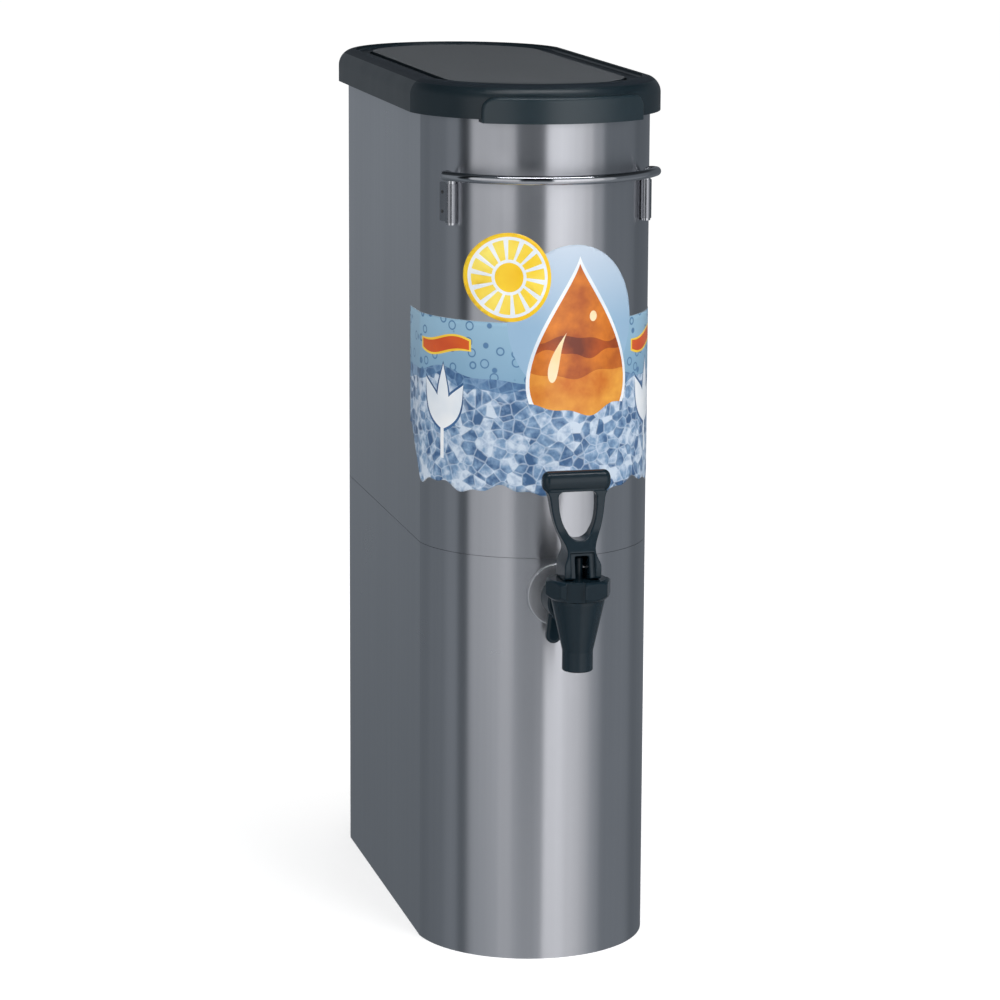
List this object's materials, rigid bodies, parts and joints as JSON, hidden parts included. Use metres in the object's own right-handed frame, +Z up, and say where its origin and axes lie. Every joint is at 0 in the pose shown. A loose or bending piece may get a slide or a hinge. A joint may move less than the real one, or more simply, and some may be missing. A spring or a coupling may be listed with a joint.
{
  "type": "iced tea dispenser",
  "caption": "Narrow free-standing stainless iced tea dispenser with a lift-off moulded lid, a wire carrying handle and a front lever tap held by a wing nut.",
  "frame": {"origin": "on the standing surface, at the centre of the overall footprint, tap included", "axes": "+Z up, -Y towards the tap and the user, +X to the right of someone facing the tap"},
  "size_m": [0.1744, 0.4674, 0.6016],
  "materials": {
    "stainless": "fine grain, satin",
    "stainless_inside": "mill finish",
    "bright_wire": "polished",
    "clip_sheet": "satin",
    "lid_plastic": "satin moulded, fine grain on the panel",
    "label_film": "printed film, semi-gloss",
    "tap_plastic": "semi-gloss moulded",
    "silicone": "translucent silicone",
    "spring_wire": "drawn"
  },
  "bodies": {
    "dispenser": {"tank_shell": "stainless", "base_shell": "stainless", "tank_floor": "stainless_inside", "front_label": "label_film", "carry_handle": "bright_wire", "left_handle_clip": "clip_sheet", "right_handle_clip": "clip_sheet", "spigot_flange": "stainless", "spigot_stub": "stainless_inside", "stub_gasket": "silicone", "stub_nut": "stainless_inside", "shank_washer": "silicone", "tap_body": "tap_plastic", "bonnet": "tap_plastic", "seat_cup": "silicone", "closing_spring": "spring_wire"},
    "lid": {"lid": "lid_plastic"},
    "stem": {"stem": "tap_plastic", "handle_pin": "spring_wire"},
    "lever": {"tap_handle": "tap_plastic"},
    "wing_nut": {"wing_nut": "tap_plastic"}
  },
  "joints": [
    {"name": "lid_lift", "type": "slide", "parent": "dispenser", "child": "lid", "axis": [0, 0, 1], "range_m": [0, 0.1]},
    {"name": "stem_lift", "type": "slide", "parent": "dispenser", "child": "stem", "axis": [0, 0, 1], "range_m": [0, 0.0045], "deforming": ["closing_spring", "seat_cup"]},
    {"name": "lever_tilt", "type": "hinge", "parent": "stem", "child": "lever", "pos_m": [0, -0.2113, 0.2874], "axis": [1, 0, 0], "range_deg": [0, 35], "stiffness_Nm_per_rad": 0.4, "springref_deg": -22.92},
    {"name": "wing_nut_turn", "type": "hinge", "parent": "dispenser", "child": "wing_nut", "pos_m": [0, -0.1695, 0.2569], "axis": [0, -1, 0], "continuous": true}
  ],
  "couplings": [
    {"joint": "stem_lift", "follows": "lever_tilt", "m_per_rad": 0.0073667}
  ]
}
